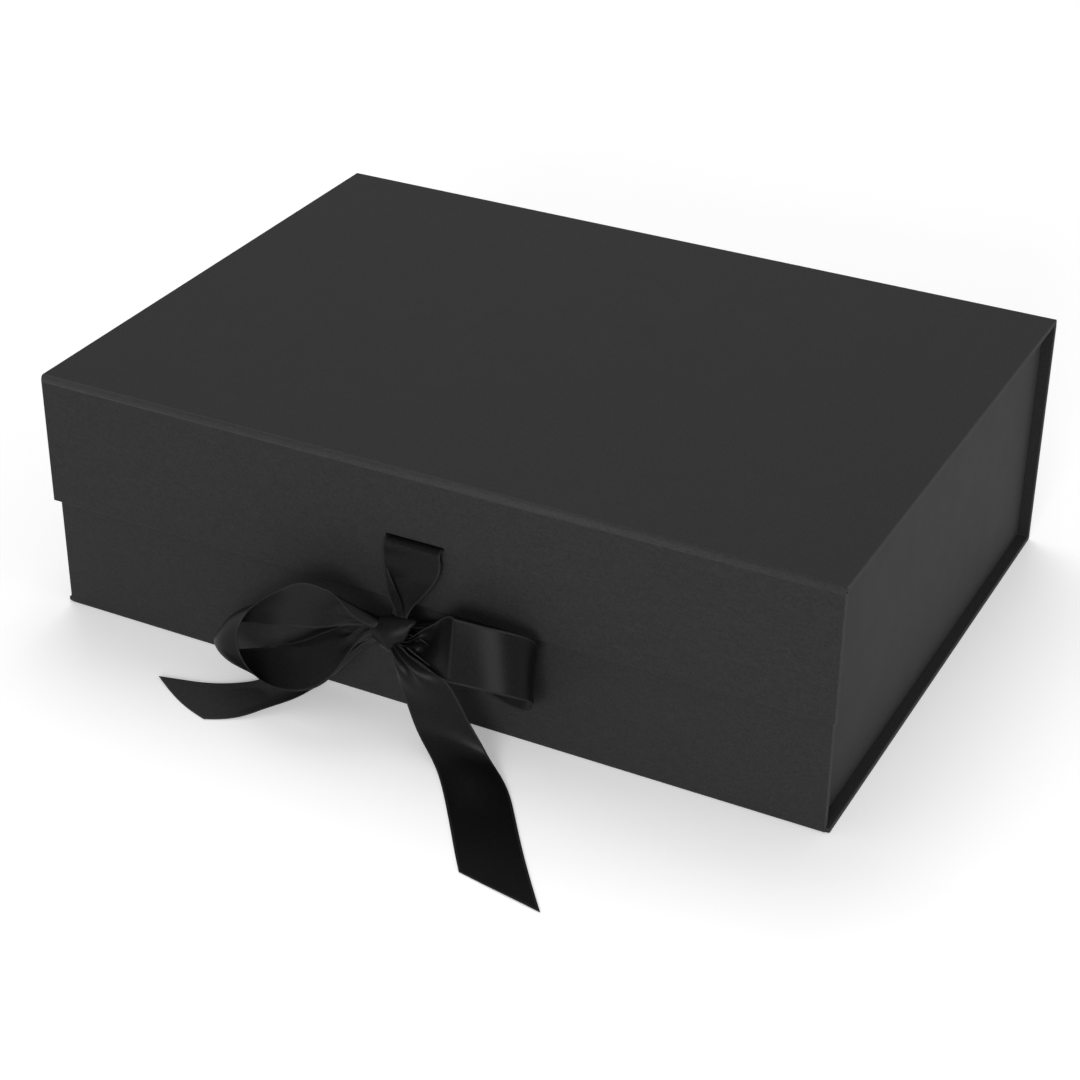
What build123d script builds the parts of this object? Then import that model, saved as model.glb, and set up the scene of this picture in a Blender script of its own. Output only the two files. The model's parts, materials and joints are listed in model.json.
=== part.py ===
from build123d import *
import os

# A book-style rigid gift box. One case of greyboard panels wrapped in paper forms the
# front wall, the base, the spine, the lid and the front flap. Two side walls stand on
# the base, set back from the edges of the case. A satin ribbon comes out of a slot in
# the flap and out of a slot in the front wall, and its two ends are tied in a bow.
#
# Millimetres. +X to the right seen from the front, +Y to the back, +Z up. The origin is
# the middle of the closed case's footprint, on the underside of the base.

# Driving dimensions: the closed case
case_width = 350.0
case_depth = 250.0
case_height = 110.0

# Driving dimensions: sheet stock
board = 2.0
paper = 0.15
tab_board = 1.3
tape = 0.1

# Driving dimensions: how the case is put together
turn_in = 15.0
liner_margin = 3.0
wall_inset = 5.0
front_wall_inset = 1.5
flap_height = 58.5
crease_step = 1.5
crease_gap = 0.35
clearance = 0.4
lid_gap = 0.5

# Driving dimensions: the catch and the ribbon
disc_diameter = 12.0
keeper_thickness = 1.0
disc_spacing = 220.0
disc_above_flap_edge = 12.0
ribbon_width = 25.0
ribbon_thick = 0.5
slot_length = 26.0
slot_height = 1.6
upper_slot_z = 80.0
lower_slot_z = 30.0
anchor_length = 22.0
anchor_end_gap = 1.0
ribbon_reach = 1.0

# Sizes that follow from them
lined = board + 2 * paper
panel = board + 3 * paper
front = -case_depth / 2
back = case_depth / 2
lid_underside = case_height - panel
crease_z = lid_underside - crease_gap
flap_edge_z = case_height - flap_height
front_wall_y = front + panel + clearance
front_wall_width = case_width - 2 * front_wall_inset
front_wall_top = lid_underside - lid_gap
inside_front = front_wall_y + panel
inside_back = back - panel
inside_depth = inside_back - inside_front
side_wall_x = case_width / 2 - wall_inset
side_wall_top = front_wall_top
disc_z = flap_edge_z + disc_above_flap_edge

# Planes on the outer face of each panel, with local Z pointing into the panel
base_plane = Plane.XY
lid_plane = Plane(origin=(0, 0, case_height), x_dir=(1, 0, 0), z_dir=(0, 0, -1))
flap_plane = Plane(origin=(0, front, 0), x_dir=(-1, 0, 0), z_dir=(0, 1, 0))
front_wall_plane = Plane(origin=(0, front_wall_y, 0), x_dir=(-1, 0, 0), z_dir=(0, 1, 0))
spine_plane = Plane(origin=(0, back, 0), x_dir=(1, 0, 0), z_dir=(0, -1, 0))
middle_y = (inside_front + inside_back) / 2
left_wall_plane = Plane(origin=(-side_wall_x, middle_y, 0), x_dir=(0, 1, 0), z_dir=(1, 0, 0))
right_wall_plane = Plane(origin=(side_wall_x, middle_y, 0), x_dir=(0, -1, 0), z_dir=(-1, 0, 0))


def save(piece, node):
    """Labels a finished piece and writes it as one STEP file."""
    piece.part.label = node
    export_step(piece.part, f"parts/{node}.step")


def layer(plane, width, low, high, start, end, mode=Mode.ADD):
    """Adds or cuts one flat layer of a panel, between two depths behind its outer face."""
    with BuildSketch(plane.offset(start)) as outline:
        with Locations((0, (low + high) / 2)):
            Rectangle(width, high - low)
    extrude(outline.sketch, amount=end - start, mode=mode)


def cut_slot(plane, height):
    """Cuts the round-ended ribbon slot through a panel, at a height above the base."""
    with BuildSketch(plane) as opening:
        with Locations((0, height)):
            SlotOverall(slot_length, slot_height)
    extrude(opening.sketch, amount=panel, mode=Mode.SUBTRACT)


def cut_anchor_recess(plane, slot_z):
    """Cuts the shallow recess in a board's inner face that holds the ribbon's glued end."""
    layer(
        plane,
        slot_length,
        slot_z - slot_height / 2,
        slot_z + anchor_length,
        paper + board - ribbon_thick,
        paper + board,
        Mode.SUBTRACT,
    )


def discs(plane, start, end, mode=Mode.ADD):
    """Adds or cuts the pair of catch discs between two depths."""
    with BuildSketch(plane.offset(start)) as rounds:
        with Locations((0, disc_z)):
            with GridLocations(disc_spacing, 0, 2, 1):
                Circle(disc_diameter / 2)
    extrude(rounds.sketch, amount=end - start, mode=mode)


def cover_paper(plane, width, low, high, free_ends):
    """Wraps a panel: outer face, both side edges, its free ends and the turned-in border.

    free_ends is 0 where both ends are creases and 1 where the high end is free. A low
    free end is given as -1.
    """
    low_wrap = paper if free_ends < 0 else 0
    high_wrap = paper if free_ends > 0 else 0
    low_border = turn_in if free_ends < 0 else 0
    high_border = turn_in if free_ends > 0 else 0
    layer(plane, width, low, high, 0, lined)
    board_width = width - 2 * paper
    layer(plane, board_width, low + low_wrap, high - high_wrap, paper, paper + board, Mode.SUBTRACT)
    window = width - 2 * turn_in
    layer(plane, window, low + low_border, high - high_border, paper + board, lined, Mode.SUBTRACT)


def liner_sheet(plane, width, low, high, free_ends):
    """Lines a panel: bedded on the board inside the turned-in border, and lapped over it."""
    low_border = turn_in if free_ends < 0 else 0
    high_border = turn_in if free_ends > 0 else 0
    margin = liner_margin
    layer(plane, width - 2 * margin, low + margin, high - margin, lined, panel)
    bed_low = low + max(low_border, margin)
    bed_high = high - max(high_border, margin)
    layer(plane, width - 2 * turn_in, bed_low, bed_high, paper + board, lined)


os.makedirs("parts", exist_ok=True)

# ---------------------------------------------------------------- tray: base
base_low = front_wall_y + crease_step
base_high = back - crease_step

with BuildPart() as base_board:
    layer(base_plane, case_width - 2 * paper, base_low, base_high, paper, paper + board)
save(base_board, "base_board")

with BuildPart() as base_cover_paper:
    cover_paper(base_plane, case_width, base_low, base_high, 0)
    with BuildSketch(Plane.YZ.offset(-front_wall_width / 2)):
        with BuildLine():
            Polyline(
                (base_low, 0),
                (base_low, paper),
                (front_wall_y + paper, panel),
                (front_wall_y, panel),
                close=True,
            )
        make_face()
    extrude(amount=front_wall_width)
    with BuildSketch(Plane.YZ.offset(-case_width / 2)):
        with BuildLine():
            Polyline(
                (base_high, 0),
                (base_high, paper),
                (back - paper, panel),
                (back, panel),
                close=True,
            )
        make_face()
    extrude(amount=case_width)
save(base_cover_paper, "base_cover_paper")

with BuildPart() as base_liner:
    floor_width = 2 * (side_wall_x - lined) - 2 * clearance
    floor_low = inside_front + clearance
    floor_high = inside_back - clearance
    layer(base_plane, floor_width, floor_low, floor_high, lined, panel)
    layer(base_plane, case_width - 2 * turn_in, floor_low, floor_high, paper + board, lined)
save(base_liner, "base_liner")

# ---------------------------------------------------------------- tray: front wall
with BuildPart() as front_wall_board:
    layer(
        front_wall_plane,
        front_wall_width - 2 * paper,
        panel,
        front_wall_top - paper,
        paper,
        paper + board,
    )
    cut_slot(front_wall_plane, lower_slot_z)
    cut_anchor_recess(front_wall_plane, lower_slot_z)
    discs(front_wall_plane, paper, paper + keeper_thickness, Mode.SUBTRACT)
save(front_wall_board, "front_wall_board")

with BuildPart() as front_wall_cover_paper:
    cover_paper(front_wall_plane, front_wall_width, panel, front_wall_top, 1)
    cut_slot(front_wall_plane, lower_slot_z)
save(front_wall_cover_paper, "front_wall_cover_paper")

with BuildPart() as front_wall_liner:
    liner_sheet(front_wall_plane, 2 * (side_wall_x - lined), panel, front_wall_top, 1)
save(front_wall_liner, "front_wall_liner")

with BuildPart() as catch_keepers:
    discs(front_wall_plane, paper, paper + keeper_thickness)
save(catch_keepers, "catch_keepers")

# ---------------------------------------------------------------- tray: spine
with BuildPart() as spine_board:
    layer(spine_plane, case_width - 2 * paper, panel, crease_z, paper, paper + board)
save(spine_board, "spine_board")

with BuildPart() as spine_cover_paper:
    cover_paper(spine_plane, case_width, panel, crease_z, 0)
save(spine_cover_paper, "spine_cover_paper")

with BuildPart() as spine_liner:
    liner_sheet(spine_plane, 2 * (side_wall_x - lined), panel, crease_z, 0)
save(spine_liner, "spine_liner")

# ---------------------------------------------------------------- tray: side walls
for side, wall_plane in (("left", left_wall_plane), ("right", right_wall_plane)):
    with BuildPart() as side_wall_board:
        layer(wall_plane, inside_depth, lined, side_wall_top - paper, paper, paper + board)
    save(side_wall_board, f"{side}_wall_board")

    with BuildPart() as side_wall_paper:
        layer(wall_plane, inside_depth, lined, side_wall_top, 0, lined)
        layer(
            wall_plane,
            inside_depth,
            lined,
            side_wall_top - paper,
            paper,
            paper + board,
            Mode.SUBTRACT,
        )
    save(side_wall_paper, f"{side}_wall_paper")

# ---------------------------------------------------------------- tray: corner tabs
tab_length = 24.0
tab_taper = 6.0
tab_low_gap = 4.0
tab_high_gap = 6.0
tab_low = panel + tab_low_gap
tab_high = side_wall_top - tab_high_gap
tape_width = 12.0
tape_length = 80.0
inside_x = side_wall_x - lined
tab_planes = {
    "front": Plane(origin=(0, inside_front, 0), x_dir=(-1, 0, 0), z_dir=(0, 1, 0)),
    "back": Plane(origin=(0, inside_back, 0), x_dir=(1, 0, 0), z_dir=(0, -1, 0)),
}

for side, towards in (("left", -1), ("right", 1)):
    for end, tab_plane in tab_planes.items():
        root = towards * tab_plane.x_dir.X * inside_x
        tip = towards * tab_plane.x_dir.X * (inside_x - tab_length)
        with BuildPart() as corner_tab:
            with BuildSketch(tab_plane.offset(tape)):
                with BuildLine():
                    Polyline(
                        (root, tab_low),
                        (root, tab_high),
                        (tip, tab_high - tab_taper),
                        (tip, tab_low + tab_taper),
                        close=True,
                    )
                make_face()
            extrude(amount=tab_board)
        save(corner_tab, f"{side}_{end}_tab")

with BuildPart() as tab_tapes:
    for tab_plane in tab_planes.values():
        with BuildSketch(tab_plane):
            with Locations((0, (tab_low + tab_high) / 2)):
                with GridLocations(2 * inside_x - tab_length, 0, 2, 1):
                    Rectangle(tape_width, tape_length)
        extrude(amount=tape)
save(tab_tapes, "tab_tapes")

# ---------------------------------------------------------------- lid
lid_low = -back + crease_step
lid_high = -front - crease_step

with BuildPart() as lid_board:
    layer(lid_plane, case_width - 2 * paper, lid_low, lid_high, paper, paper + board)
save(lid_board, "lid_board")

with BuildPart() as lid_cover_paper:
    cover_paper(lid_plane, case_width, lid_low, lid_high, 0)
save(lid_cover_paper, "lid_cover_paper")

with BuildPart() as lid_liner:
    liner_sheet(lid_plane, case_width, lid_low, lid_high, 0)
save(lid_liner, "lid_liner")

# ---------------------------------------------------------------- flap
with BuildPart() as flap_board:
    layer(
        flap_plane,
        case_width - 2 * paper,
        flap_edge_z + paper,
        crease_z,
        paper,
        paper + board,
    )
    cut_slot(flap_plane, upper_slot_z)
    cut_anchor_recess(flap_plane, upper_slot_z)
    discs(flap_plane, paper, paper + board, Mode.SUBTRACT)
save(flap_board, "flap_board")

with BuildPart() as flap_cover_paper:
    cover_paper(flap_plane, case_width, flap_edge_z, crease_z, -1)
    cut_slot(flap_plane, upper_slot_z)
save(flap_cover_paper, "flap_cover_paper")

with BuildPart() as flap_liner:
    liner_sheet(flap_plane, case_width, flap_edge_z, crease_z, -1)
save(flap_liner, "flap_liner")

with BuildPart() as catch_magnets:
    discs(flap_plane, paper, paper + board)
save(catch_magnets, "catch_magnets")

# ---------------------------------------------------------------- paper hinges
# Each hinge turns about the line hinge_drop below the lid's outer face, in the plane of
# the outer face of the flap or the spine. The strip stays inside the radius that the
# next panel sweeps.
hinge_drop = 1.3
strip_end = 0.2
front_strip_rise = 0.7
front_strip_inset = 0.25
rear_strip_inset = 0.7
front_strip_z = crease_z + front_strip_rise
rear_strip_z = case_height - hinge_drop

with BuildPart() as front_hinge_paper:
    with BuildSketch(Plane.YZ.offset(-case_width / 2)):
        with BuildLine():
            Polyline(
                (front + crease_step, case_height),
                (front + front_strip_inset, front_strip_z),
                (front + front_strip_inset + strip_end, front_strip_z),
                (front + crease_step, case_height - 2 * paper),
                close=True,
            )
        make_face()
    extrude(amount=case_width)
save(front_hinge_paper, "front_hinge_paper")

with BuildPart() as rear_hinge_paper:
    with BuildSketch(Plane.YZ.offset(-case_width / 2)):
        with BuildLine():
            Polyline(
                (back, crease_z),
                (back - rear_strip_inset, rear_strip_z),
                (back - rear_strip_inset - strip_end, rear_strip_z),
                (back - 2 * paper, crease_z),
                close=True,
            )
        make_face()
    extrude(amount=case_width)
save(rear_hinge_paper, "rear_hinge_paper")

# ---------------------------------------------------------------- ribbons through the slots
knot_width = 12.0
knot_depth = 9.0
knot_height = 11.0
knot_corner = 3.0
knot_round = 1.5
knot_out = 12.0
knot_y = front - knot_out
knot_z = 45.0
upper_neck_width = 8.0
upper_neck_thick = 2.0
lower_neck_out = 6.0
lower_neck_drop = 1.5


def ribbon_through_slot(plane, slot_z):
    """Adds a ribbon's glued end in its recess and the short run out through the slot."""
    recess = paper + board - ribbon_thick
    low = slot_z - ribbon_thick / 2
    high = slot_z + ribbon_thick / 2
    glued_end = slot_z + anchor_length - anchor_end_gap
    layer(plane, ribbon_width, low, glued_end, recess, paper + board)
    layer(plane, ribbon_width, low, high, -ribbon_reach, recess)


with BuildPart() as upper_ribbon:
    ribbon_through_slot(flap_plane, upper_slot_z)
    with BuildSketch(Plane.XY.offset(upper_slot_z + ribbon_thick / 2)):
        with Locations((0, front - ribbon_reach)):
            Rectangle(ribbon_width, ribbon_thick)
    with BuildSketch(Plane.XY.offset(knot_z + knot_height / 2)):
        with Locations((0, knot_y)):
            Rectangle(upper_neck_width, upper_neck_thick)
    loft()
save(upper_ribbon, "upper_ribbon")

with BuildPart() as lower_ribbon:
    ribbon_through_slot(front_wall_plane, lower_slot_z)
    with BuildSketch(Plane.XY.offset(lower_slot_z - ribbon_thick / 2)):
        with Locations((0, front_wall_y - ribbon_reach)):
            Rectangle(ribbon_width, ribbon_thick)
    with BuildSketch(Plane.XY.offset(knot_z - knot_height / 2 - lower_neck_drop)):
        with Locations((0, front_wall_y - lower_neck_out)):
            Rectangle(knot_width, ribbon_thick)
    loft()
save(lower_ribbon, "lower_ribbon")

# ---------------------------------------------------------------- bow
band = 0.8
loop_gap = 0.2
loop_root = 1.5
tail_gap = 1.0

with BuildPart() as bow_knot:
    with BuildSketch(Plane.XY.offset(knot_z - knot_height / 2)):
        with Locations((0, knot_y)):
            RectangleRounded(knot_width, knot_depth, knot_corner)
    extrude(amount=knot_height)
    fillet(bow_knot.faces().filter_by(Axis.Z).edges(), knot_round)
save(bow_knot, "bow_knot")

# The right loop is a band on edge: its outline is drawn in plan and raised by the
# ribbon's width. It leaves the knot along the flap, turns, and comes back in front.
right_loop_low = 39.0

with BuildPart() as bow_right_loop:
    with BuildSketch(Plane.XY.offset(right_loop_low)):
        with BuildLine():
            Spline(
                (knot_width / 2 + loop_gap, knot_y + loop_root),
                (30.0, front - 5.0),
                (54.0, front - 5.0),
                (61.0, front - 11.0),
                (54.0, front - 17.5),
                (26.0, front - 22.0),
                (knot_width / 2 + loop_gap, knot_y - loop_root),
            )
        trace(line_width=band)
    extrude(amount=ribbon_width)
save(bow_right_loop, "bow_right_loop")

# The left loop hangs outwards and down, its open side towards the front and the top.
left_loop_plane = Plane(
    origin=(-knot_width / 2 - 1.0, knot_y - 5.6, knot_z),
    x_dir=(-0.97, -0.12, -0.16),
    z_dir=(-0.13, 0.90, 0.42),
)

with BuildPart() as bow_left_loop:
    with BuildSketch(left_loop_plane.offset(-ribbon_width / 2)):
        with BuildLine():
            Spline(
                (0, -loop_root),
                (26.0, -15.0),
                (54.0, -16.0),
                (68.0, 0),
                (54.0, 16.0),
                (26.0, 15.0),
                (0, loop_root),
            )
        trace(line_width=band)
    extrude(amount=ribbon_width)
save(bow_left_loop, "bow_left_loop")

tail_top = knot_z - knot_height / 2 - tail_gap


def tail(start, finish, route):
    """Adds a ribbon tail: a thin band along a route in the upright plane between two points.

    route holds (distance along the ground, height) pairs, and its end lies level.
    """
    along = Vector(finish[0] - start[0], finish[1] - start[1], 0).normalized()
    across = Vector(0, 0, 1).cross(along)
    upright = Plane(origin=(start[0], start[1], 0), x_dir=along, z_dir=across * -1)
    with BuildSketch(upright.offset(-ribbon_width / 2)) as edge:
        with BuildLine():
            Spline(*route, tangents=[(0.3, -1.0), (1.0, 0)])
        trace(line_width=band)
    extrude(edge.sketch, amount=ribbon_width)


with BuildPart() as bow_right_tail:
    tail(
        (4.0, knot_y - 5.0),
        (86.0, front - 76.0),
        [(0, tail_top), (12.0, 14.0), (26.0, 3.0), (50.0, 1.2), (101.0, 1.2)],
    )
save(bow_right_tail, "bow_right_tail")

with BuildPart() as bow_left_tail:
    tail(
        (-5.0, knot_y - 4.0),
        (-104.0, front - 26.0),
        [(0, tail_top), (12.0, 18.0), (32.0, 6.0), (65.0, 2.0), (98.0, 2.0)],
    )
save(bow_left_tail, "bow_left_tail")
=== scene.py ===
import json
import math

import bmesh
import bpy
import numpy as np
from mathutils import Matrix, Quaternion, Vector


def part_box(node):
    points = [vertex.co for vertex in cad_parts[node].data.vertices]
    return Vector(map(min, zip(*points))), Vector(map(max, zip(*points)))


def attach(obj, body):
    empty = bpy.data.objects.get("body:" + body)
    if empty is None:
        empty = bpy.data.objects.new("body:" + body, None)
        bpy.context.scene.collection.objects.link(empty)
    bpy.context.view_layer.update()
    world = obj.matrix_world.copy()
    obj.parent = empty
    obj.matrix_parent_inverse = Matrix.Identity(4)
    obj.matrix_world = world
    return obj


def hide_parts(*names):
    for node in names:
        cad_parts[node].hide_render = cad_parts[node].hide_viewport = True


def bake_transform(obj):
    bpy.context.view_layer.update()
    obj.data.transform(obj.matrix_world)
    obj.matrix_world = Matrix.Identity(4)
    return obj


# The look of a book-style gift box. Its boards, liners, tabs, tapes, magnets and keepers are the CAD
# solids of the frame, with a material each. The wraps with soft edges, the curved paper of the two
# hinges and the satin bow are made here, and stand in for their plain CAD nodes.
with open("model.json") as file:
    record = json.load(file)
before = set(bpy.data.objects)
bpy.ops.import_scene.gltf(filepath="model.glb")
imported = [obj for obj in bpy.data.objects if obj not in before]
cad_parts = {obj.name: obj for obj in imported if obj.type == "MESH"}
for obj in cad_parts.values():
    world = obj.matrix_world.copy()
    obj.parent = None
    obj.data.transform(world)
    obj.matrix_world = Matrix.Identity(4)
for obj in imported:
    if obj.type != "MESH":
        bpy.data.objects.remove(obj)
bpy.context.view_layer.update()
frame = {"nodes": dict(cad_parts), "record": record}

MM = 0.001
scene = bpy.context.scene
scene.view_settings.view_transform = "Standard"


# ------------------------------------------------------------------ places, in millimetres
def corners(node):
    """The low and the high corner of a CAD node's box."""
    low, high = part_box(node)
    return low / MM, high / MM


LID_LOW, LID_HIGH = corners("lid_cover_paper")
FLAP_LOW, FLAP_HIGH = corners("flap_cover_paper")
WALL_LOW, WALL_HIGH = corners("front_wall_cover_paper")
SPINE_LOW, SPINE_HIGH = corners("spine_cover_paper")
BASE_TOP = corners("base_cover_paper")[1].z
FRONT = FLAP_LOW.y
BACK = SPINE_HIGH.y
TOP = LID_HIGH.z
HALF_WIDTH = LID_HIGH.x

UPPER_SLOT_Z = 80.0
LOWER_SLOT_Z = 30.0
SLOT_LENGTH = 26.0
SLOT_HEIGHT = 1.6
SLOT_CUT = (-1.0, 2.2)  # where the cut starts and ends, from the panel's outer face

EDGE_RADIUS = 0.45  # paper folded over an edge of a board
BOARD_LAP = 0.15  # how far a wrap reaches past its board into a crease
FRONT_FOLD = 1.4  # paper folded under the front wall
REAR_FOLD = 1.6  # paper folded under the spine
UNDER_WALL = (0.45, 0.5)  # the tray wrap's front edge: behind the wall's face, and above the table
BASE_SINK = 0.1  # how far the tray wrap stays below the top of the base
HINGE_THICKNESS = 0.35
HINGE_SHORT = 0.2  # how much each end of a hinge strip stops short of the box's side
HINGE_LAP_TOP = 0.35  # how far a hinge strip reaches over the lid
HINGE_LAP_SIDE = 0.4  # how far it reaches over the flap or the spine
HINGE_SINK = 0.02  # how far the strip's ends are sunk into the faces that they join
LIGHT_EDGE_END = 2.0  # the corner at each end of an edge that keeps the lighter edge paper, a painted highlight over rubbed wear, where the rest of that edge does not
FACE_COLOUR_BAND = 1.0  # how high above a panel's lower end its edge takes the colour of its faces, without the lighter edge paper

RIBBON_WIDTH = 25.0
RIBBON_THICKNESS = 0.3
SELVEDGE = 0.9
SELVEDGE_PITCH = 0.8
HEM_RADIUS = 0.9
WIDEST_HEM = 9.0
TALLEST_FOLD = 30.0
DEEPEST_PLEAT = 1.2
LEAST_HEIGHT = 0.35  # the middle of the ribbon's thickness above the table
STATION_NUMBERS = 11  # two edges of three numbers, the gather, and two hems of two numbers


# ------------------------------------------------------------------ camera, floor and light
SENSOR_WIDTH = 36.0
LENS = 80.1
CAMERA_PLACE = (0.405, -0.811, 0.551)
CAMERA_LOOK = (-0.3921, 0.7666, -0.5085)
CAMERA_ROLL = math.radians(0.54)
SKY_STRENGTH = 0.45
LIGHTS = {  # where each stands, where it points, its two sides in metres, and its watts
    "key": ((0.36, -1.65, 0.5), (0.0, -0.12, 0.05), (0.7, 0.5), 17.0),
    "side": ((1.8, -0.1, 0.8), (0.17, 0.0, 0.05), (1.0, 0.8), 4.5),
    "overhead": ((-0.4, 0.7, 1.8), (0.0, 0.0, 0.1), (1.2, 1.2), 13.5),
}
FLOOR_REACH = 6.0


def make_camera():
    camera_data = bpy.data.cameras.new("camera")
    camera_data.sensor_width = SENSOR_WIDTH
    camera_data.lens = LENS
    camera = bpy.data.objects.new("camera", camera_data)
    scene.collection.objects.link(camera)
    camera.location = CAMERA_PLACE
    roll = Quaternion((0.0, 0.0, 1.0), CAMERA_ROLL)
    camera.rotation_euler = (Vector(CAMERA_LOOK).to_track_quat("-Z", "Y") @ roll).to_euler()
    scene.camera = camera


def area_light(name, place, aim, size, power):
    light_data = bpy.data.lights.new(name, "AREA")
    light_data.shape = "RECTANGLE"
    light_data.size, light_data.size_y = size
    light_data.energy = power
    light = bpy.data.objects.new(name, light_data)
    scene.collection.objects.link(light)
    light.location = place
    light.rotation_euler = (Vector(aim) - Vector(place)).to_track_quat("-Z", "Y").to_euler()


def make_studio():
    world = bpy.data.worlds.new("studio")
    scene.world = world
    world.use_nodes = True
    sky = world.node_tree.nodes["Background"]
    set_inputs(sky, Color=(1.0, 1.0, 1.0, 1.0), Strength=SKY_STRENGTH)
    for name, settings in LIGHTS.items():
        area_light(name, *settings)
    floor_mesh = bpy.data.meshes.new("floor")
    rim = [(FLOOR_REACH * x, FLOOR_REACH * y, 0) for x, y in ((-1, -1), (1, -1), (1, 1), (-1, 1))]
    floor_mesh.from_pydata(rim, [], [(0, 1, 2, 3)])
    floor = bpy.data.objects.new("floor", floor_mesh)
    scene.collection.objects.link(floor)
    floor_mesh.materials.append(floor_material())


# ------------------------------------------------------------------ material nodes
def set_inputs(node, **values):
    for key, value in values.items():
        node.inputs[key.replace("_", " ")].default_value = value


class Look:
    """A Principled material and the nodes that feed its shader."""

    def __init__(self, name):
        self.material = bpy.data.materials.new(name)
        self.material.use_nodes = True
        self.nodes = self.material.node_tree.nodes
        self.links = self.material.node_tree.links
        self.shader = self.nodes["Principled BSDF"]

    def set(self, **values):
        set_inputs(self.shader, **values)

    def feed(self, socket, source):
        self.links.new(source, self.shader.inputs[socket])

    def place(self):
        return self.nodes.new("ShaderNodeTexCoord").outputs["Object"]

    def noise(self, source, scale, detail=3.0, roughness=0.55):
        """Noise with scale waves in each unit of the given coordinates."""
        mapping = self.nodes.new("ShaderNodeMapping")
        mapping.inputs["Scale"].default_value = scale
        self.links.new(source, mapping.inputs["Vector"])
        noise = self.nodes.new("ShaderNodeTexNoise")
        set_inputs(noise, Scale=1.0, Detail=detail, Roughness=roughness)
        self.links.new(mapping.outputs["Vector"], noise.inputs["Vector"])
        return noise.outputs["Fac"]

    def tint(self, factor, dark, light, low=0.35, high=0.65):
        """A colour between two others."""
        ramp = self.nodes.new("ShaderNodeValToRGB")
        for stop, position, colour in zip(ramp.color_ramp.elements, (low, high), (dark, light)):
            stop.position = position
            stop.color = (*colour, 1.0)
        self.links.new(factor, ramp.inputs["Fac"])
        return ramp.outputs["Color"]

    def spread(self, factor, low, high):
        """The middle half of a 0 to 1 factor, spread over a range."""
        mapped = self.nodes.new("ShaderNodeMapRange")
        set_inputs(mapped, From_Min=0.25, From_Max=0.75, To_Min=low, To_Max=high)
        self.links.new(factor, mapped.inputs["Value"])
        return mapped.outputs["Result"]

    def compute(self, operation, first, second=0.0):
        node = self.nodes.new("ShaderNodeMath")
        node.operation = operation
        for socket, value in zip(node.inputs, (first, second)):
            if isinstance(value, (int, float)):
                socket.default_value = value
            else:
                self.links.new(value, socket)
        return node.outputs["Value"]

    def add(self, first, second):
        return self.compute("ADD", first, second)

    def times(self, first, second):
        return self.compute("MULTIPLY", first, second)

    def relief(self, height, depth, strength):
        """Fine relief by bump, as deep as depth in metres."""
        node = self.nodes.new("ShaderNodeBump")
        set_inputs(node, Strength=strength, Distance=depth)
        self.links.new(height, node.inputs["Height"])
        self.feed("Normal", node.outputs["Normal"])


# ------------------------------------------------------------------ materials
def floor_material():
    look = Look("studio_floor")
    look.set(Base_Color=(0.86, 0.86, 0.86, 1.0), Roughness=0.9, Specular_IOR_Level=0.1)
    look.set(Emission_Color=(1.0, 1.0, 1.0, 1.0), Emission_Strength=0.28)
    return look.material


def paper_material(name, dark, light, roughness):
    """Matte dyed wrap paper: fine fibres, a faint cloudiness and a dry, even surface."""
    look = Look(name)
    place = look.place()
    cloud = look.noise(place, (60.0, 60.0, 60.0), detail=4.0)
    grain = look.noise(place, (1300.0, 1300.0, 1300.0), roughness=0.7)
    fibres_x = look.noise(place, (260.0, 1500.0, 1500.0), detail=2.0, roughness=0.6)
    fibres_y = look.noise(place, (1400.0, 300.0, 1400.0), detail=2.0, roughness=0.6)
    fibres = look.compute("MAXIMUM", fibres_x, fibres_y)
    cloud_share, fibre_share, grain_share = 0.12, 0.38, 0.50
    tone = look.add(look.times(cloud, cloud_share), look.times(fibres, fibre_share))
    tone = look.add(tone, look.times(grain, grain_share))
    look.feed("Base Color", look.tint(tone, (dark, dark, dark), (light, light, light)))
    look.feed("Roughness", look.spread(cloud, roughness, roughness + 0.08))
    look.relief(look.add(grain, look.times(fibres, 0.8)), depth=0.00006, strength=0.35)
    look.set(Specular_IOR_Level=0.2, Sheen_Weight=0.03, Sheen_Roughness=0.5)
    return look.material


def board_material(name):
    """Raw greyboard: recycled fibre with darker specks."""
    look = Look(name)
    pulp = look.noise(look.place(), (700.0, 700.0, 1800.0), detail=5.0, roughness=0.7)
    look.feed("Base Color", look.tint(pulp, (0.20, 0.19, 0.175), (0.36, 0.35, 0.33)))
    look.relief(pulp, depth=0.00015, strength=0.5)
    look.set(Roughness=0.95, Specular_IOR_Level=0.15)
    return look.material


def metal_material(name, tint, roughness):
    """Plated steel, faintly brushed."""
    look = Look(name)
    brushed = look.noise(look.place(), (400.0, 6000.0, 6000.0), detail=2.0)
    darker = tuple(0.8 * channel for channel in tint)
    look.feed("Base Color", look.tint(brushed, darker, tint))
    look.feed("Roughness", look.spread(brushed, roughness, roughness + 0.12))
    look.set(Metallic=1.0)
    return look.material


def tape_material(name):
    """Double-sided tape: cream adhesive with faint bubbles."""
    look = Look(name)
    bubbles = look.noise(look.place(), (900.0, 900.0, 900.0))
    look.feed("Base Color", look.tint(bubbles, (0.62, 0.60, 0.52), (0.80, 0.78, 0.71)))
    look.relief(bubbles, depth=0.0001, strength=0.4)
    look.set(Roughness=0.45)
    return look.material


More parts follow.
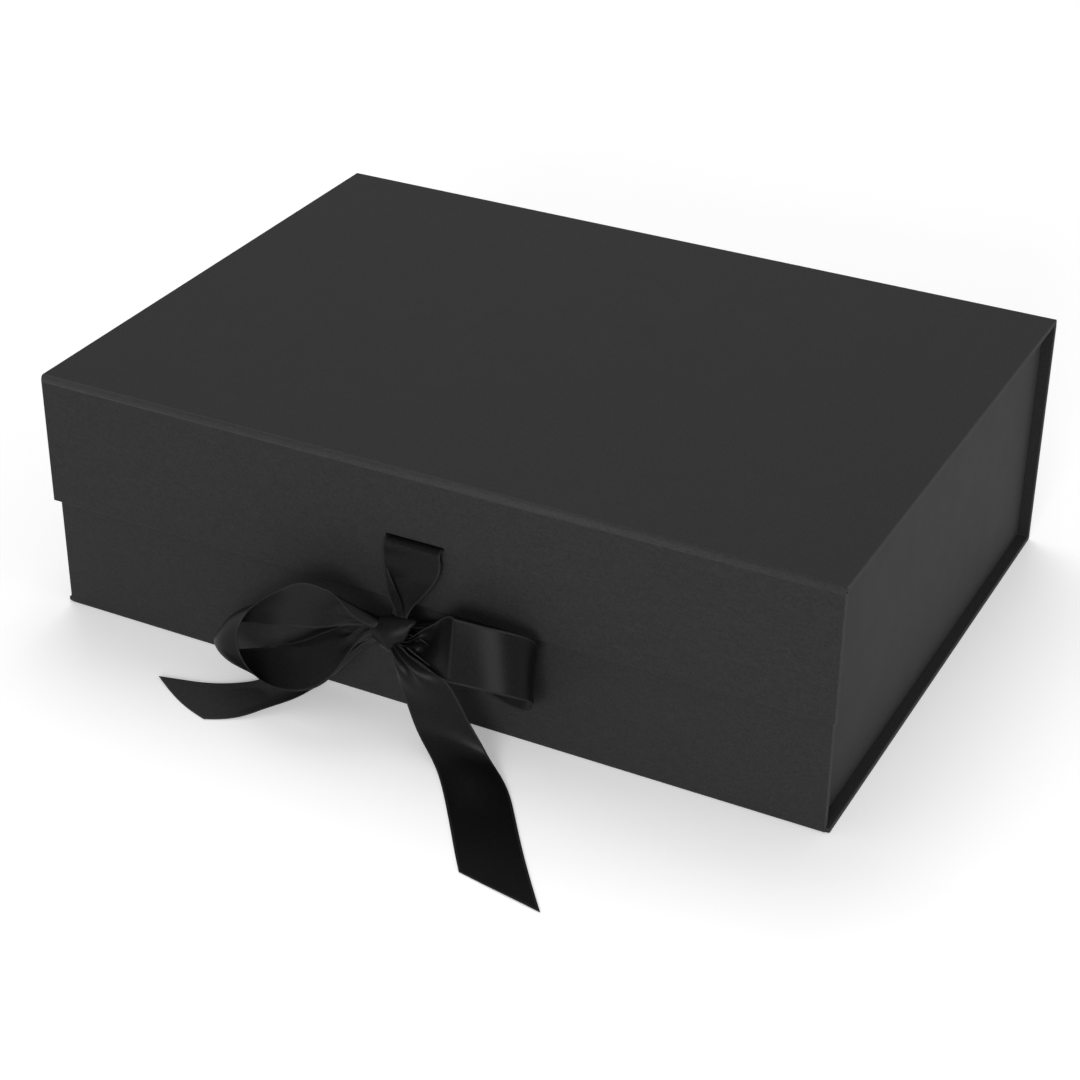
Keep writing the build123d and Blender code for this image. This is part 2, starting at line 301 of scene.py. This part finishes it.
def satin_material(name, dark, light, roughness, specular, anisotropic):
    """One face of the ribbon: a close weave, with a ribbed selvedge at each edge.

    Its map, "weave", is measured in ribbon widths: X along the ribbon and Y across it.
    """
    look = Look(name)
    weave = look.nodes.new("ShaderNodeUVMap")
    weave.uv_map = "weave"
    split = look.nodes.new("ShaderNodeSeparateXYZ")
    look.links.new(weave.outputs["UV"], split.inputs["Vector"])
    along, across = split.outputs["X"], split.outputs["Y"]
    threads = look.noise(weave.outputs["UV"], (60.0, 14.0, 1.0), roughness=0.6)
    ripples = look.noise(weave.outputs["UV"], (3.0, 1.5, 1.0), detail=2.0, roughness=0.5)

    from_middle = look.compute("ABSOLUTE", look.compute("SUBTRACT", across, 0.5))
    selvedge = look.compute("GREATER_THAN", from_middle, 0.5 - SELVEDGE / RIBBON_WIDTH)
    wave = look.compute("SINE", look.times(along, 2 * math.pi * RIBBON_WIDTH / SELVEDGE_PITCH))
    ribs = look.times(look.add(look.times(wave, 0.5), 0.5), selvedge)

    mix = look.nodes.new("ShaderNodeMix")
    mix.data_type = "RGBA"
    factor, plain, rib_glint_colour = mix.inputs[0], mix.inputs[6], mix.inputs[7]
    # The ribs are a real ribbed selvedge; their lighter colour is a painted glint where the ribs catch
    # the light.
    rib_glint_colour.default_value = (0.030, 0.030, 0.031, 1.0)
    look.links.new(look.times(ribs, 0.7), factor)
    look.links.new(look.tint(threads, dark, light), plain)
    look.feed("Base Color", mix.outputs[2])

    rough = look.spread(threads, roughness, roughness + 0.08)
    look.feed("Roughness", look.add(rough, look.times(ribs, 0.15)))
    height = look.add(look.times(threads, 0.10), look.times(ribs, 0.6))
    look.relief(look.add(height, look.times(ripples, 0.5)), depth=0.0003, strength=0.5)

    tangent = look.nodes.new("ShaderNodeTangent")
    tangent.direction_type = "UV_MAP"
    tangent.uv_map = "weave"
    look.feed("Tangent", tangent.outputs["Tangent"])
    look.set(Specular_IOR_Level=specular, Anisotropic=anisotropic, Anisotropic_Rotation=0.25)
    return look.material


def dye(grey, blue):
    """A black dye with a trace of blue."""
    return (grey, grey, blue)


MATERIALS = {
    "cover_paper": paper_material("cover_paper_look", dark=0.0085, light=0.0210, roughness=0.74),
    # The crease look is the wrap paper made lighter for rounded edges and hinge strips: partly rubbed
    # wear where the paper stretches over the board, partly a painted highlight along the edges.
    "crease": paper_material("cover_edge_wear_and_highlight_look", dark=0.0150, light=0.0310, roughness=0.66),
    "liner_paper": paper_material("liner_paper_look", dark=0.0080, light=0.0185, roughness=0.80),
    "tab_board": paper_material("tab_board_look", dark=0.0105, light=0.0175, roughness=0.78),
    "greyboard": board_material("greyboard_look"),
    "keeper_steel": metal_material("keeper_steel_look", tint=(0.55, 0.56, 0.58), roughness=0.35),
    "magnet": metal_material("magnet_look", tint=(0.66, 0.65, 0.62), roughness=0.18),
    "adhesive_tape": tape_material("adhesive_tape_look"),
    "satin_ribbon": satin_material(
        "satin_ribbon_look",
        dark=dye(0.0036, 0.0037),
        light=dye(0.0076, 0.0078),
        roughness=0.34,
        specular=0.09,
        anisotropic=0.65,
    ),
    # The loop's inside: the same satin with a lighter colour, painted light where the inside of the loop
    # lies in shade.
    "satin_inner_painted_light": satin_material(
        "satin_inner_painted_light_look",
        dark=dye(0.0076, 0.0078),
        light=dye(0.0136, 0.0138),
        roughness=0.34,
        specular=0.06,
        anisotropic=0.65,
    ),
    "satin_reverse": satin_material(
        "satin_reverse_look",
        dark=dye(0.0205, 0.0208),
        light=dye(0.0365, 0.0369),
        roughness=0.60,
        specular=0.22,
        anisotropic=0.3,
    ),
}

# The looks of a ribbon's two faces. The first is the outer face of the left loop, the upper face of
# the left tail and the lower face of the right tail.
SHINY = ("satin_ribbon", "satin_ribbon")
# a loop whose inner face is painted lighter, as painted light in its shaded inside
LIGHTENED_INSIDE = ("satin_ribbon", "satin_inner_painted_light")
DULL_FIRST = ("satin_reverse", "satin_ribbon")


def paint_frame():
    """Gives every carried-over CAD node the look of its material slot."""
    for part in frame["record"]["subparts"]:
        node = frame["nodes"][part["node"]]
        node.data.materials.clear()
        node.data.materials.append(MATERIALS[part["material_slot"]])


# ------------------------------------------------------------------ mesh helpers
def add_object(name, mesh, looks):
    piece = bpy.data.objects.new(name, mesh)
    scene.collection.objects.link(piece)
    for look in looks:
        mesh.materials.append(MATERIALS[look])
    return piece


def apply_modifiers(piece):
    """Replaces a piece's mesh with what its modifiers make of it."""
    evaluated = piece.evaluated_get(bpy.context.evaluated_depsgraph_get())
    made = bpy.data.meshes.new_from_object(evaluated)
    piece.modifiers.clear()
    old = piece.data
    piece.data = made
    bpy.data.meshes.remove(old)


def prism(name, outline, low, high, along_y=False):
    """A closed solid: an outline of (y, z) points drawn along X, or of (x, z) points along Y."""
    shape = bmesh.new()
    ends = []
    for depth in (low, high):
        points = [(flat, depth, z) if along_y else (depth, flat, z) for flat, z in outline]
        ends.append([shape.verts.new(Vector(point) * MM) for point in points])
    near, far = ends
    shape.faces.new(near)
    shape.faces.new(list(reversed(far)))
    count = len(outline)
    for i in range(count):
        j = (i + 1) % count
        shape.faces.new([near[j], near[i], far[i], far[j]])
    bmesh.ops.recalc_face_normals(shape, faces=shape.faces)
    mesh = bpy.data.meshes.new(name)
    shape.to_mesh(mesh)
    shape.free()
    return mesh


def round_edges(piece):
    """Rounds the sharp edges as wrapped paper rounds them, in the piece's second material: a lighter
    paper that is partly rubbed wear and partly a painted highlight on the rounding.
    """
    rounding = piece.modifiers.new("rounding", "BEVEL")
    # the rounding takes the lighter edge paper: a painted highlight over rubbed wear
    rounding.material = 1
    rounding.width = EDGE_RADIUS * MM
    rounding.segments = 3
    rounding.limit_method = "ANGLE"
    rounding.angle_limit = math.radians(40.0)
    rounding.harden_normals = True
    for face in piece.data.polygons:
        face.use_smooth = True


def slot_outline(z, steps=8):
    """The round-ended outline of a slot at height z, as (x, z) points."""
    radius = SLOT_HEIGHT / 2
    centre = SLOT_LENGTH / 2 - radius
    rim = []
    for side in (1, -1):
        for step in range(steps + 1):
            turn = side * math.pi / 2 - math.pi * step / steps
            rim.append((side * centre + radius * math.cos(turn), z + radius * math.sin(turn)))
    return rim


def cut_slot(piece, y, z):
    """Cuts the ribbon's slot into a panel whose outer face is at y, and applies all its modifiers."""
    start, end = SLOT_CUT
    mesh = prism("slot_cutter", slot_outline(z), y + start, y + end, along_y=True)
    cutter = bpy.data.objects.new("slot_cutter", mesh)
    scene.collection.objects.link(cutter)
    cut = piece.modifiers.new("slot", "BOOLEAN")
    cut.operation = "DIFFERENCE"
    cut.solver = "EXACT"
    cut.object = cutter
    bpy.context.view_layer.update()
    apply_modifiers(piece)
    bpy.data.objects.remove(cutter)
    bpy.data.meshes.remove(mesh)


# ------------------------------------------------------------------ paper-wrapped panels
def panel_skin(name, nodes, body, lap=(0.0, 0.0), outline=None, slot_at=None):
    """The wrap of a panel as a closed skin with softly rounded edges, in place of its CAD wraps.

    Without an outline it is a box: that of the first node, made larger by lap at its front and
    back, and at its top.
    """
    low, high = corners(nodes[0])
    if outline is None:
        start, end, top = low.y - lap[0], high.y + lap[0], high.z + lap[1]
        outline = [(start, low.z), (end, low.z), (end, top), (start, top)]
    # the second look is the lighter edge paper: painted highlight over rubbed wear on the rounded edges
    looks = ("cover_paper", "crease")
    piece = add_object(name, prism(name, outline, low.x, high.x), looks)
    round_edges(piece)
    if slot_at is not None:
        cut_slot(piece, low.y, slot_at)
    else:
        apply_modifiers(piece)
    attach(piece, body)
    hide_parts(*nodes)
    return piece


def face_coloured_lower_edge(piece, below):
    """Gives a wrap's long lower edge the colour of its faces, with no painted highlight and no rubbed
    wear there, save near its ends.
    """
    for face in piece.data.polygons:
        if face.center.z < below * MM and abs(face.center.x) < (HALF_WIDTH - LIGHT_EDGE_END) * MM:
            face.material_index = 0


def hinge_skin(name, node, arc):
    """The paper over a crease: one curved strip, in the crease's shape at rest."""
    inner = []
    for index, point in enumerate(arc):
        before = Vector(arc[max(index - 1, 0)])
        after = Vector(arc[min(index + 1, len(arc) - 1)])
        way = (after - before).normalized()
        inner.append((point[0] - way[1] * HINGE_THICKNESS, point[1] + way[0] * HINGE_THICKNESS))
    outline = list(arc) + inner[::-1]
    half = HALF_WIDTH - HINGE_SHORT
    # the whole strip is the lighter edge paper: a painted highlight along the crease over rubbed wear
    piece = add_object(name, prism(name, outline, -half, half), ("crease",))
    for face in piece.data.polygons:
        face.use_smooth = len(face.vertices) == 4
    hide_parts(node)
    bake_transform(piece)


def soft_corner(start, corner, end, steps=10):
    """Points along a soft corner from start to end, as (y, z)."""
    points = []
    for step in range(steps + 1):
        t = step / steps
        weights = (1 - t) ** 2, 2 * t * (1 - t), t**2
        y, z = (sum(w * p[axis] for w, p in zip(weights, (start, corner, end))) for axis in (0, 1))
        points.append((y, z))
    return points


def make_panels():
    panel_skin("lid_wrap", ["lid_cover_paper"], "lid", lap=(BOARD_LAP, 0.0))
    flap_wrap = panel_skin(
        "flap_wrap", ["flap_cover_paper"], "flap", lap=(0.0, BOARD_LAP), slot_at=UPPER_SLOT_Z
    )
    # the flap's lower edge keeps its faces' colour, without the painted highlight of the other edges
    face_coloured_lower_edge(flap_wrap, FLAP_LOW.z + FACE_COLOUR_BAND)
    panel_skin("left_wall_wrap", ["left_wall_paper"], "tray")
    panel_skin("right_wall_wrap", ["right_wall_paper"], "tray")

    front, inside = WALL_LOW.y, WALL_HIGH.y
    wall = [
        (front, WALL_HIGH.z),
        *soft_corner((front, FRONT_FOLD), (front, 0.0), (front + FRONT_FOLD, 0.0), 6),
        (inside, 0.0),
        (inside, WALL_HIGH.z),
    ]
    wall_nodes = ["front_wall_cover_paper"]
    panel_skin("front_wall_wrap", wall_nodes, "tray", outline=wall, slot_at=LOWER_SLOT_Z)

    spine_inside, spine_top = SPINE_LOW.y, SPINE_HIGH.z + BOARD_LAP
    base_inside = BASE_TOP - BASE_SINK
    edge_y, edge_z = front + UNDER_WALL[0], UNDER_WALL[1]
    tray = [
        (front + FRONT_FOLD, 0.0),
        *soft_corner((BACK - REAR_FOLD, 0.0), (BACK, 0.0), (BACK, REAR_FOLD), 6),
        (BACK, spine_top),
        (spine_inside, spine_top),
        (spine_inside, base_inside),
        (edge_y, base_inside),
        (edge_y, edge_z),
    ]
    panel_skin("tray_wrap", ["base_cover_paper", "spine_cover_paper"], "tray", outline=tray)


def make_hinges():
    face = TOP - HINGE_SINK
    front_arc = soft_corner(
        (LID_LOW.y + HINGE_LAP_TOP, face),
        (FRONT, TOP),
        (FRONT + HINGE_SINK, FLAP_HIGH.z - HINGE_LAP_SIDE),
    )
    hinge_skin("front_hinge_skin", "front_hinge_paper", front_arc)
    rear_arc = soft_corner(
        (BACK - HINGE_SINK, SPINE_HIGH.z - HINGE_LAP_SIDE),
        (BACK, TOP),
        (LID_HIGH.y - HINGE_LAP_TOP, face),
    )
    hinge_skin("rear_hinge_skin", "rear_hinge_paper", rear_arc)


# ------------------------------------------------------------------ satin ribbon
def unit(vectors):
    return vectors / np.maximum(np.linalg.norm(vectors, axis=-1, keepdims=True), 1e-9)


def steps_between(points):
    """The distance from each of a line of points to the next."""
    return np.linalg.norm(np.diff(points, axis=0), axis=1)


def travelled(points):
    """How far along a line of points each of them is."""
    return np.concatenate([[0.0], np.cumsum(steps_between(points))])


def soften(rows, times):
    """Smooths rows of numbers in place. The first and the last row stay."""
    for _ in range(times):
        rows[1:-1] += 0.25 * (rows[2:] - 2 * rows[1:-1] + rows[:-2])


def smooth_rows(rows, count, relax):
    """Rows of numbers turned into count rows, evenly spaced on a natural cubic spline through them."""
    rows = np.array(rows, dtype=float)
    at = np.concatenate([[0.0], np.cumsum(np.sqrt(steps_between(rows[:, :6])))])
    size = len(rows)
    gaps = np.diff(at)
    slopes = np.diff(rows, axis=0) / gaps[:, None]
    system = np.zeros((size, size))
    right = np.zeros_like(rows)
    system[0, 0] = system[-1, -1] = 1.0
    for i in range(1, size - 1):
        system[i, i - 1 : i + 2] = gaps[i - 1], 2 * (gaps[i - 1] + gaps[i]), gaps[i]
        right[i] = 6 * (slopes[i] - slopes[i - 1])
    bends = np.linalg.solve(system, right)

    def evaluate(places):
        left = np.clip(np.searchsorted(at, places, side="right") - 1, 0, size - 2)
        span = gaps[left][:, None]
        a = (at[left + 1] - places)[:, None] / span
        b = 1 - a
        curve = a * rows[left] + b * rows[left + 1]
        return curve + ((a**3 - a) * bends[left] + (b**3 - b) * bends[left + 1]) * span**2 / 6

    fine = np.linspace(0, at[-1], 40 * size)
    fine_rows = evaluate(fine)
    far_along = travelled((fine_rows[:, :3] + fine_rows[:, 3:6]) / 2)
    smooth = evaluate(np.interp(np.linspace(0, far_along[-1], count), far_along, fine))
    soften(smooth, relax)
    return smooth


def pleat_section(flat, chord, place):
    """The section of a ribbon narrowed by one flat pleat, tucked behind at place from its first edge."""
    tuck = np.clip((RIBBON_WIDTH - chord) / 2, 0, None)
    back = np.clip(flat - place, 0, tuck)
    beyond = np.clip(flat - place - tuck, 0, None)
    section_u = (flat - 2 * back) * np.maximum(chord / RIBBON_WIDTH, 1.0)
    depth = np.minimum(tuck, DEEPEST_PLEAT) * back / np.maximum(tuck, 0.01)
    section_n = -depth * (1 - beyond / (RIBBON_WIDTH - place - tuck))
    for section in (section_u, section_n):
        soften(section.T, 3)
    return section_u, section_n


def fold_height(t, chord, shape, width):
    """How tall the arch or the folds must be for the cloth between the edges to be this wide."""

    def widths(height):
        run = np.diff(t * chord, axis=1)
        rise = np.diff(shape * height, axis=1)
        return np.sqrt(run**2 + rise**2).sum(axis=1, keepdims=True)

    low, high = np.zeros_like(chord), np.full_like(chord, TALLEST_FOLD)
    for _ in range(30):  # each trial halves the range of heights
        trial = (low + high) / 2
        short = widths(trial) < width
        low, high = np.where(short, trial, low), np.where(short, high, trial)
    soften(low, 80)
    return low


def curled_hem(past, curl):
    """How far out and how far up cloth lies that goes past the start of a curled hem."""
    past = np.clip(past, 0, None)
    turned = np.minimum(past / HEM_RADIUS, np.abs(curl))
    straight = past - HEM_RADIUS * turned
    out = HEM_RADIUS * np.sin(turned) + straight * np.cos(turned)
    rise = HEM_RADIUS * (1 - np.cos(turned)) + straight * np.sin(turned)
    return out, rise * np.sign(curl)


def ribbon_grid(stations, count, crown=1.0, folds=2.0, columns=44, relax=12, pleated=False):
    """The grid of points of one ribbon, in millimetres, and how far along it each row is.

    A station is where the ribbon's two edges are, (x, out from the flap, z) each, then how
    gathered it is, from 0 for one soft arch to 1 for folds, and then the hems curled over at
    the second and at the first edge, each as a width and an angle in degrees. Cloth that the
    edges leave no room for goes into the arch or the folds. The sign of crown is the side to
    which the arch rises, and its size weighs the arch against the folds. folds is how many
    waves fit across. A pleated ribbon has one pleat instead, and there the first edge's hem
    width says how far the pleat is from that edge.
    """
    rows = [(*near, *far, *rest) for near, far, *rest in stations]
    rows = smooth_rows([row + (0.0,) * (STATION_NUMBERS - len(row)) for row in rows], count, relax)
    near, far = rows[:, 0:3].copy(), rows[:, 3:6].copy()
    for edge in (near, far):
        edge[:, 1] = FRONT - edge[:, 1]
    gather = np.clip(rows[:, 6], 0, 1)[:, None]
    far_hem, near_hem = (np.clip(rows[:, column], 0, WIDEST_HEM)[:, None] for column in (7, 9))
    far_curl, near_curl = (np.radians(rows[:, column])[:, None] for column in (8, 10))
    middle = (near + far) / 2
    along = unit(np.gradient(middle, axis=0))
    chord = np.linalg.norm(far - near, axis=1, keepdims=True)
    across = unit(far - near)
    normal = unit(np.cross(along, across))
    flat = np.linspace(0, RIBBON_WIDTH, columns + 1)[None, :]
    if pleated:
        section_u, section_n = pleat_section(flat, chord, near_hem)
    else:
        body = RIBBON_WIDTH - far_hem - near_hem
        t = np.clip((flat - near_hem) / body, 0, 1)
        arch = np.sin(np.pi * t) * crown
        waves = np.sin(2 * np.pi * folds * t) * (1 - 0.25 * np.cos(2 * np.pi * t))
        shape = (1 - gather) * arch + gather * waves
        far_out, far_rise = curled_hem(flat - near_hem - body, far_curl)
        near_out, near_rise = curled_hem(near_hem - flat, near_curl)
        section_u = t * chord + far_out - near_out
        section_n = shape * fold_height(t, chord, shape, body) + far_rise + near_rise
    grid = near[:, None] + section_u[..., None] * across[:, None] + section_n[..., None] * normal[:, None]
    grid[..., 2] = np.maximum(grid[..., 2], LEAST_HEIGHT)
    return grid, travelled(middle)


def slanted_end(grid, reach):
    """Cuts the last end on a slant: the second edge is longer than the first by reach."""
    columns = grid.shape[1]
    far_along = travelled(grid[:, columns // 2])
    total = far_along[-1]
    cut = np.empty_like(grid)
    for j in range(columns):
        stop = total - reach * (1 - j / (columns - 1))
        places = far_along * stop / total
        for axis in range(3):
            cut[:, j, axis] = np.interp(places, far_along, grid[:, j, axis])
    return cut


def grid_mesh(name, grid, distance):
    """A mesh of a grid of points, with its map in ribbon widths: along, then across."""
    count, columns = grid.shape[0], grid.shape[1]
    mesh = bpy.data.meshes.new(name)
    faces = []
    for i in range(count - 1):
        for j in range(columns - 1):
            a = i * columns + j
            faces.append((a, a + 1, a + columns + 1, a + columns))
    mesh.from_pydata((grid.reshape(-1, 3) * MM).tolist(), [], faces)
    layer = mesh.uv_layers.new(name="weave")
    for loop in mesh.loops:
        i, j = divmod(loop.vertex_index, columns)
        layer.data[loop.index].uv = (distance[i] / RIBBON_WIDTH, j / (columns - 1))
    for face in mesh.polygons:
        face.use_smooth = True
    return mesh


def ribbon(name, stations, body, node, count=120, held="folded", slant=None, faces=SHINY, **shape):
    """One piece of satin ribbon: a thin sheet through its stations, riding on a body."""
    grid, distance = ribbon_grid(stations, count, **shape)
    if slant is not None:
        grid = slanted_end(grid, slant)
    piece = add_object(name, grid_mesh(name, grid, distance), faces)
    thick = piece.modifiers.new("thickness", "SOLIDIFY")
    thick.thickness = RIBBON_THICKNESS * MM
    thick.offset = 0.0
    thick.material_offset = 1
    apply_modifiers(piece)
    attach(piece, body)
    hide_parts(node)


# ------------------------------------------------------------------ the bow, station by station
# From the knot over the top to the left, round its far end, and back below to the knot.
LEFT_LOOP = [
    ((-5, 12, 47), (-5, 11, 44), 1.0, 0, 0, 3.0, 100),
    ((-10, 13.5, 49.5), (-12, 12, 44), 0.9, 0, 0, 5.0, 150),
    ((-15, 16.5, 54), (-19.5, 12.5, 43), 0.5, 0, 0, 6.5, 165),
    ((-19, 19, 57.5), (-26, 13.5, 41.5), 0.2, 0, 0, 5.0, 165),
    ((-23.5, 22, 61.5), (-31, 16, 40.7), 0, 0, 0, 1.5, 150),
    ((-28, 24, 64.3), (-35, 19.5, 41), 0),
    ((-35, 25.5, 65.5), (-41, 22, 41.5), 0),
    ((-44, 26.5, 60.8), (-51, 20.5, 37.8), 0),
    ((-53, 26.5, 53.5), (-63.5, 17.5, 33.3), 0),
    ((-60, 27, 46.5), (-74, 15.7, 30.3), 0),
    ((-65, 27, 38), (-82.5, 16, 24.8), 0),
    ((-67, 27, 30), (-85.7, 17, 18), 0),
    ((-65.5, 27, 23), (-84, 15.2, 14.5), 0),
    ((-61.5, 26.3, 16.3), (-78.5, 10, 12.4), 0),
    ((-55, 25.5, 12), (-71, 6.5, 13.2), 0),
    ((-46, 24.8, 11.3), (-61.5, 5.3, 15.5), 0, 2.0, 120),
    ((-36, 24, 14.3), (-51.5, 6.3, 21.8), 0, 4.5, 160),
    ((-28, 23, 20.5), (-44, 6, 27.5), 0, 6.0, 165),
    ((-22.5, 20.5, 28.5), (-37.5, 5.5, 31.5), 0.1, 6.0, 165),
    ((-18.5, 17.5, 36), (-29, 6.5, 35.5), 0.35, 5.0, 150),
    ((-12, 14, 42), (-17, 9.5, 41.5), 0.9, 2.0, 100),
    ((-5, 12, 43), (-5, 11, 46), 1.0),
]

# From the knot out in front to the right, round its end, and back along the flap.
RIGHT_LOOP = [
    ((-3, 13, 47), (-3, 13.5, 44), 1.0, 2.0, -60),
    ((4, 14, 44.9), (2, 15, 41.5), 0.8, 4.0, -150),
    ((8.5, 12.4, 48.5), (4.8, 15.7, 38.5), 0.25, 5.0, -165),
    ((14, 11.8, 53.2), (9.5, 16.6, 37.2), 0, 5.0, -165),
    ((20.5, 13.4, 59.5), (17.5, 18.5, 37.6), 0, 3.5, -165),
    ((26.6, 18.2, 64), (26.2, 22.8, 39.2), 0, 1.5, -160),
    ((28, 19.1, 64.1), (28, 23.9, 39.4), 0, 1.2, -160),
    ((29.6, 18.9, 64), (30, 24.2, 39.4), 0, 1.0, -160),
    ((38, 17.3, 63.1), (40.5, 24, 38.8), 0),
    ((46, 14.7, 61.8), (49.5, 22, 37.8), 0),
    ((52, 11, 59.4), (56, 18.5, 35.6), 0),
    ((55.6, 7, 55.5), (58.5, 13.5, 31.6), 0),
    ((55, 3.6, 49.2), (55.4, 9, 24.8), 0),
    ((50, 2.0, 45.8), (50, 6, 21.2), 0),
    ((42, 1.8, 45.8), (41, 4.2, 21.0), 0),
    ((30, 1.8, 49), (29.5, 4, 24.3), 0),
    ((18, 2.2, 48.5), (18, 5, 27.5), 0.05),
    ((8, 3.5, 47.5), (9, 8, 33), 0.3),
    ((2, 7.5, 47), (3, 11, 40.5), 0.8),
    ((-3, 10, 47), (-3, 11, 43), 1.0),
]

# From the knot down in front of the wall, and out along the table to the right.
RIGHT_TAIL = [
    ((-4, 14, 44), (0, 14, 44), 1.0),
    ((-2.5, 15, 40), (5, 15.5, 41), 0.8),
    ((-1, 16, 36), (12.5, 17, 39.5), 0.45),
    ((0.5, 17, 30), (19, 18.5, 37.5), 0.15),
    ((2, 17, 24.5), (25, 18.5, 33), 0),
    ((5, 17.5, 18), (29.5, 18, 25), 0),
    ((8.5, 19, 11.5), (34, 18, 16.5), 0),
    ((13.5, 21.5, 5.5), (39, 18, 9), 0),
    ((20, 25.5, 2), (43, 19, 4), 0),
    ((26.5, 31.5, 0.6), (47.5, 21.5, 1.8), 0),
    ((35, 42, 0.4), (56, 29, 0.6), 0),
    ((46, 57, 0.4), (66, 42, 0.4), 0),
    ((61.5, 78.5, 0.4), (81.5, 63.5, 0.4), 0),
    ((81, 103.5, 0.4), (100.6, 88, 0.4), 0),
]

# From the knot down behind the left loop, and out along the table to the left.
LEFT_TAIL = [
    ((-6, 14, 43), (-6, 10, 43), 1.0),
    ((-14.5, 11.5, 38), (-15, 6, 40), 0.8),
    ((-24, 12, 28.5), (-27, 3, 31), 0.5),
    ((-31.5, 14, 18.5), (-38.5, 2, 24), 0.2),
    ((-38.5, 19, 10.5), (-49.5, 2.5, 15.5), 0),
    ((-46, 24.5, 6), (-59.5, 5.5, 8), 0),
    ((-53.5, 30.5, 3.5), (-66.5, 10, 2), 0),
    ((-59.5, 36, 1.5), (-74, 16, 0.9), 0),
    ((-66, 40.5, 0.6), (-80.5, 20, 0.8), 0),
    ((-74, 44.5, 0.5), (-87, 23, 0.9), 0),
    ((-86, 48.5, 0.5), (-95, 25.2, 0.9), 0),
    ((-99.5, 52, 0.5), (-106.4, 28, 1.0), 0),
]

# Out of the flap's slot, over its lower rim, and down to the knot.
UPPER_RIBBON = [
    ((-12.4, -1.5, 79.8), (12.4, -1.5, 79.8), 0),
    ((-12.4, 0.3, 79.9), (12.4, 0.3, 79.9), 0),
    ((-12.6, 1.9, 79.3), (12.5, 1.9, 79.3), 0),
    ((-12.8, 3.0, 77.2), (12.7, 3.0, 77.6), 0, 0, 0, 0.1),
    ((-13.0, 2.7, 74), (12.8, 2.5, 75.4), 0, 0, 0, 0.2),
    ((-12.7, 3.2, 70), (13, 3.2, 72.3), 0, 0, 0, 0.6),
    ((-11.6, 4.2, 64.2), (11.2, 4.4, 66.8), 0, 0, 0, 3.0),
    ((-8.9, 6.2, 57.2), (7.6, 7.5, 61.3), 0, 0, 0, 5.5),
    ((-4.8, 9, 53.4), (4.8, 10.5, 57.6), 0, 0, 0, 5.5),
    ((-2.5, 11.5, 50.5), (3.2, 12, 53.5), 0, 0, 0, 4.5),
    ((-2.2, 12, 46.5), (1.8, 12, 47.5), 0, 0, 0, 4.5),
]

# Out of the front wall's slot and up to the knot.
LOWER_RIBBON = [
    ((-12.4, -4.4, 30), (12.4, -4.4, 30), 0),
    ((-12.4, -2.2, 30), (12.4, -2.2, 30), 0),
    ((-12.4, -0.8, 31), (12.2, -0.8, 31.2), 0),
    ((-11.5, 1.5, 33.5), (8, 1.5, 34.5), 0.4),
    ((-8.5, 4, 37), (1.5, 4, 38), 0.8),
    ((-6.5, 7, 40.5), (-0.5, 7, 41), 1.0),
]

# One turn around all the other ribbons.
KNOT = [
    ((-5, 13, 38.5), (-2, 13, 39), 0.5, 8.5, -170, 8.5, -170),
    ((-7.5, 9.5, 40.5), (-0.5, 9.5, 41.5), 0.2, 7.0, -170, 7.0, -170),
    ((-8.5, 8.6, 45), (2, 8.6, 47), 0, 6.0, -170, 6.0, -170),
    ((-8.7, 9.8, 49.3), (5, 9.8, 52), 0, 5.5, -170, 5.5, -170),
    ((-8.8, 12.5, 49.8), (6.3, 12.5, 53), 0, 5.0, -170, 5.0, -170),
    ((-9.6, 15.2, 47.6), (4.8, 15, 50.4), 0, 5.0, -170, 5.0, -170),
    ((-9.6, 16.6, 43.8), (3.6, 16.6, 46.2), 0, 5.5, -170, 5.5, -170),
    ((-7.2, 16.2, 40.6), (0.8, 16.4, 42), 0.1, 7.5, -170, 7.5, -170),
    ((-5, 13, 38.5), (-2, 13, 39), 0.5, 8.5, -170, 8.5, -170),
]


def make_bow():
    ribbon(
        "left_loop_satin", LEFT_LOOP, "flap", "bow_left_loop",
        count=200, crown=-1.0, relax=8, faces=LIGHTENED_INSIDE,
    )
    ribbon("right_loop_satin", RIGHT_LOOP, "flap", "bow_right_loop", count=300, folds=2.5, relax=2)
    ribbon(
        "right_tail_satin", RIGHT_TAIL, "flap", "bow_right_tail",
        held="draped", crown=0.5, slant=27.7, faces=DULL_FIRST,
    )
    ribbon(
        "left_tail_satin", LEFT_TAIL, "flap", "bow_left_tail",
        held="draped", crown=0.5, slant=24.0, faces=DULL_FIRST,
    )
    ribbon("upper_satin", UPPER_RIBBON, "flap", "upper_ribbon", count=100, columns=72, pleated=True)
    ribbon("lower_satin", LOWER_RIBBON, "tray", "lower_ribbon", count=60, folds=1.0)
    ribbon("knot_satin", KNOT, "flap", "bow_knot", count=100, folds=2.0, relax=4)


make_camera()
make_studio()
paint_frame()
make_panels()
make_hinges()
make_bow()
